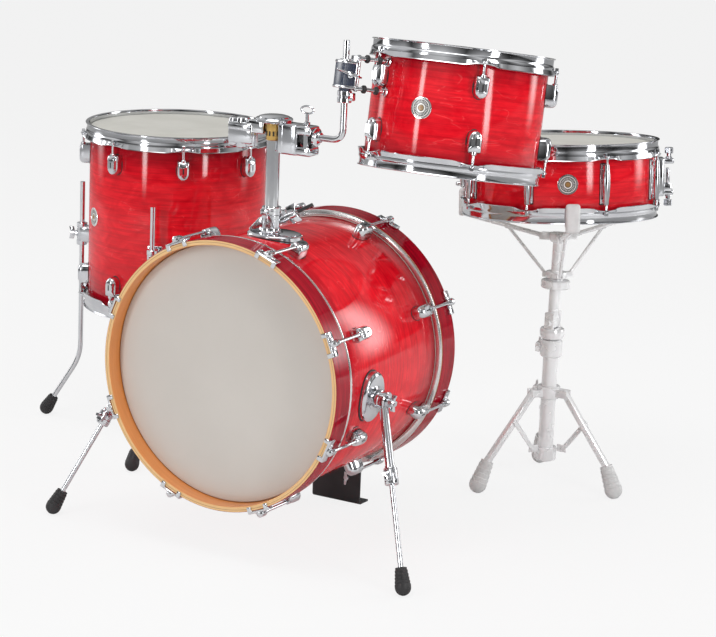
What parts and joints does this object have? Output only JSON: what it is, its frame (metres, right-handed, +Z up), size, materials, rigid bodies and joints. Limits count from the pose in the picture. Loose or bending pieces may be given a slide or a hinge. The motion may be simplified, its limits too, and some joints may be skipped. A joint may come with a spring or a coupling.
{
  "type": "drum kit",
  "caption": "Drum kit: a bass drum on spurs with a rack tom on its post, a floor tom on sliding legs, and a snare drum in the basket of a folding stand.",
  "frame": {"origin": "centre of the footprint of the kit's bounding box, on the floor", "axes": "+Z up, +Y from the bass drum's front head towards the player, +X towards the snare drum"},
  "size_m": [1.2706, 0.9716, 0.9164],
  "materials": {
    "shell_lacquer": "clear gloss lacquer over crimson-stained wood",
    "hoop_lacquer": "dark red gloss lacquer outside, plain maple inside",
    "coated_head": "coated white film",
    "smooth_head": "smooth satin white film",
    "chrome": "polished",
    "black_rubber": "ribbed matt rubber",
    "black_steel": "satin black",
    "pale_steel": "pale satin"
  },
  "bodies": {
    "kit": {"bass_shell": "shell_lacquer", "bass_front_head": "smooth_head", "bass_rear_head": "coated_head", "bass_front_hoop": "hoop_lacquer", "bass_rear_hoop": "hoop_lacquer", "spur_bracket_right": "chrome", "spur_bracket_left": "chrome", "lift_plate": "black_steel", "mount_base": "chrome", "floor_tom_shell": "shell_lacquer", "floor_tom_top_head": "coated_head", "floor_tom_bottom_head": "smooth_head", "floor_tom_top_hoop": "chrome", "floor_tom_bottom_hoop": "chrome", "stand_lower_tube": "pale_steel"},
    "lift_screw": {"lift_screw": "chrome"},
    "post_swivel": {"mount_collar": "chrome"},
    "post_height": {"mount_post": "chrome", "holder_head": "chrome"},
    "ring_screw": {"holder_ring_screw": "chrome"},
    "arm_roll": {"tom_arm": "chrome"},
    "tom_height": {"tom_memory_collar": "chrome"},
    "tom_swivel": {"tom_bracket": "black_steel", "tom_hanger": "chrome", "rack_tom_shell": "shell_lacquer", "rack_tom_top_head": "coated_head", "rack_tom_bottom_head": "smooth_head", "rack_tom_top_hoop": "chrome", "rack_tom_bottom_hoop": "chrome"},
    "loop_screw": {"bracket_loop_screw": "chrome"},
    "leg_collar": {"stand_leg_collar": "pale_steel"},
    "stand_height": {"stand_upper_tube": "pale_steel"},
    "basket_tilt": {"basket_hub": "pale_steel", "snare_shell": "shell_lacquer", "snare_top_head": "coated_head", "snare_bottom_head": "smooth_head", "snare_top_hoop": "chrome", "snare_bottom_hoop": "chrome", "snare_strainer": "chrome", "snare_butt": "chrome", "snare_wires": "chrome"},
    "lever": {"snare_lever": "chrome"},
    "spur_fold_right": {"spur_tube_right": "chrome"},
    "spur_length_right": {"spur_rod_right": "chrome", "spur_foot_right": "black_rubber"},
    "spur_fold_left": {"spur_tube_left": "chrome"},
    "spur_length_left": {"spur_rod_left": "chrome", "spur_foot_left": "black_rubber"},
    "floor_leg_left": {"floor_tom_leg_left": "chrome"},
    "floor_leg_front": {"floor_tom_leg_front": "chrome"},
    "floor_leg_rear": {"floor_tom_leg_rear": "chrome"},
    "stand_leg_front_left": {"stand_leg_front_left": "pale_steel"},
    "stand_strut_front_left": {"stand_strut_front_left": "pale_steel"},
    "stand_leg_right": {"stand_leg_right": "pale_steel"},
    "stand_strut_right": {"stand_strut_right": "pale_steel"},
    "stand_leg_rear": {"stand_leg_rear": "pale_steel"},
    "stand_strut_rear": {"stand_strut_rear": "pale_steel"},
    "basket_arm_front": {"basket_arm_front": "pale_steel"},
    "basket_arm_left": {"basket_arm_left": "pale_steel"},
    "basket_arm_rear": {"basket_arm_rear": "pale_steel"}
  },
  "joints": [
    {"name": "spur_fold_right", "type": "hinge", "parent": "kit", "child": "spur_fold_right", "pos_m": [0.42936, -0.34646, 0.30016], "axis": [0.9945, 0, -0.1045], "range_deg": [0, 80]},
    {"name": "spur_length_right", "type": "slide", "parent": "spur_fold_right", "child": "spur_length_right", "axis": [0.3559, -0.3344, -0.8727], "range_m": [-0.03, 0.03]},
    {"name": "spur_fold_left", "type": "hinge", "parent": "kit", "child": "spur_fold_left", "pos_m": [-0.07765, -0.34646, 0.30016], "axis": [0.9945, 0, 0.1045], "range_deg": [0, 80]},
    {"name": "spur_length_left", "type": "slide", "parent": "spur_fold_left", "child": "spur_length_left", "axis": [-0.3559, -0.3344, -0.8727], "range_m": [-0.03, 0.03]},
    {"name": "lift_screw", "type": "hinge", "parent": "kit", "child": "lift_screw", "pos_m": [0.20585, -0.06446, 0.054], "axis": [0, 1, 0], "continuous": true},
    {"name": "post_swivel", "type": "hinge", "parent": "kit", "child": "post_swivel", "pos_m": [0.17885, -0.32946, 0.5922], "axis": [0, 0, 1], "range_deg": [-60, 5]},
    {"name": "post_height", "type": "slide", "parent": "post_swivel", "child": "post_height", "axis": [0, 0, 1], "range_m": [-0.03, 0.04]},
    {"name": "ring_screw", "type": "hinge", "parent": "post_height", "child": "ring_screw", "pos_m": [0.24585, -0.32946, 0.7577], "axis": [0, 0, 1], "continuous": true},
    {"name": "arm_roll", "type": "hinge", "parent": "post_height", "child": "arm_roll", "pos_m": [0.26385, -0.32946, 0.7387], "axis": [1, 0, 0], "range_deg": [-10, 10]},
    {"name": "tom_height", "type": "slide", "parent": "arm_roll", "child": "tom_height", "axis": [-0.0339, 0.0609, 0.9976], "range_m": [-0.03, 0.03]},
    {"name": "tom_swivel", "type": "hinge", "parent": "tom_height", "child": "tom_swivel", "pos_m": [0.31593, -0.32421, 0.82469], "axis": [-0.0339, 0.0609, 0.9976], "range_deg": [-40, 10]},
    {"name": "loop_screw", "type": "hinge", "parent": "tom_swivel", "child": "loop_screw", "pos_m": [0.32871, -0.33064, 0.85372], "axis": [0.8581, -0.507, 0.0813], "continuous": true},
    {"name": "floor_leg_left", "type": "slide", "parent": "kit", "child": "floor_leg_left", "axis": [0, 0, 1], "range_m": [-0.05, 0.03]},
    {"name": "floor_leg_front", "type": "slide", "parent": "kit", "child": "floor_leg_front", "axis": [0, 0, 1], "range_m": [-0.05, 0.03]},
    {"name": "floor_leg_rear", "type": "slide", "parent": "kit", "child": "floor_leg_rear", "axis": [0, 0, 1], "range_m": [-0.05, 0.03]},
    {"name": "leg_collar", "type": "slide", "parent": "kit", "child": "leg_collar", "axis": [0, 0, 1], "range_m": [0, 0.012]},
    {"name": "stand_leg_front_left", "type": "hinge", "parent": "leg_collar", "child": "stand_leg_front_left", "pos_m": [0.42753, 0.24555, 0.189], "axis": [0.8607, -0.509, 0], "range_deg": [0, 9.4]},
    {"name": "stand_strut_front_left", "type": "hinge", "parent": "kit", "child": "stand_strut_front_left", "pos_m": [0.43561, 0.24193, 0.078], "axis": [0.8607, -0.509, 0], "range_deg": [-8.9, 0]},
    {"name": "stand_leg_right", "type": "hinge", "parent": "leg_collar", "child": "stand_leg_right", "pos_m": [0.48185, 0.27616, 0.189], "axis": [0.0105, 0.9999, 0], "range_deg": [0, 9.4]},
    {"name": "stand_strut_right", "type": "hinge", "parent": "kit", "child": "stand_strut_right", "pos_m": [0.48094, 0.28497, 0.078], "axis": [0.0105, 0.9999, 0], "range_deg": [-8.9, 0]},
    {"name": "stand_leg_rear", "type": "hinge", "parent": "leg_collar", "child": "stand_leg_rear", "pos_m": [0.42818, 0.3079, 0.189], "axis": [-0.8712, -0.4909, 0], "range_deg": [0, 9.4]},
    {"name": "stand_strut_rear", "type": "hinge", "parent": "kit", "child": "stand_strut_rear", "pos_m": [0.421, 0.30271, 0.078], "axis": [-0.8712, -0.4909, 0], "range_deg": [-8.9, 0]},
    {"name": "stand_height", "type": "slide", "parent": "kit", "child": "stand_height", "axis": [0, 0, 1], "range_m": [0, 0.08]},
    {"name": "basket_tilt", "type": "hinge", "parent": "stand_height", "child": "basket_tilt", "pos_m": [0.44585, 0.27654, 0.328], "axis": [0, 1, 0], "range_deg": [-6, 6]},
    {"name": "basket_arm_front", "type": "hinge", "parent": "basket_tilt", "child": "basket_arm_front", "pos_m": [0.4628, 0.25632, 0.49703], "axis": [0.8377, 0.5454, 0.0292], "range_deg": [0, 5]},
    {"name": "basket_arm_left", "type": "hinge", "parent": "basket_tilt", "child": "basket_arm_left", "pos_m": [0.41512, 0.28057, 0.49238], "axis": [0.0503, -0.9971, 0.0574], "range_deg": [0, 5]},
    {"name": "basket_arm_rear", "type": "hinge", "parent": "basket_tilt", "child": "basket_arm_rear", "pos_m": [0.4601, 0.30985, 0.49395], "axis": [-0.888, 0.4517, -0.0865], "range_deg": [0, 5]},
    {"name": "lever", "type": "hinge", "parent": "basket_tilt", "child": "lever", "pos_m": [0.61654, 0.39015, 0.59794], "axis": [-0.4972, 0.8638, -0.0814], "range_deg": [0, 70]}
  ],
  "couplings": [
    {"joint": "stand_leg_front_left", "follows": "leg_collar", "rad_per_m": 13.51},
    {"joint": "stand_strut_front_left", "follows": "leg_collar", "rad_per_m": -12.852},
    {"joint": "stand_leg_right", "follows": "leg_collar", "rad_per_m": 13.51},
    {"joint": "stand_strut_right", "follows": "leg_collar", "rad_per_m": -12.852},
    {"joint": "stand_leg_rear", "follows": "leg_collar", "rad_per_m": 13.51},
    {"joint": "stand_strut_rear", "follows": "leg_collar", "rad_per_m": -12.852},
    {"joint": "basket_arm_left", "follows": "basket_arm_front", "ratio": 1},
    {"joint": "basket_arm_rear", "follows": "basket_arm_front", "ratio": 1}
  ]
}
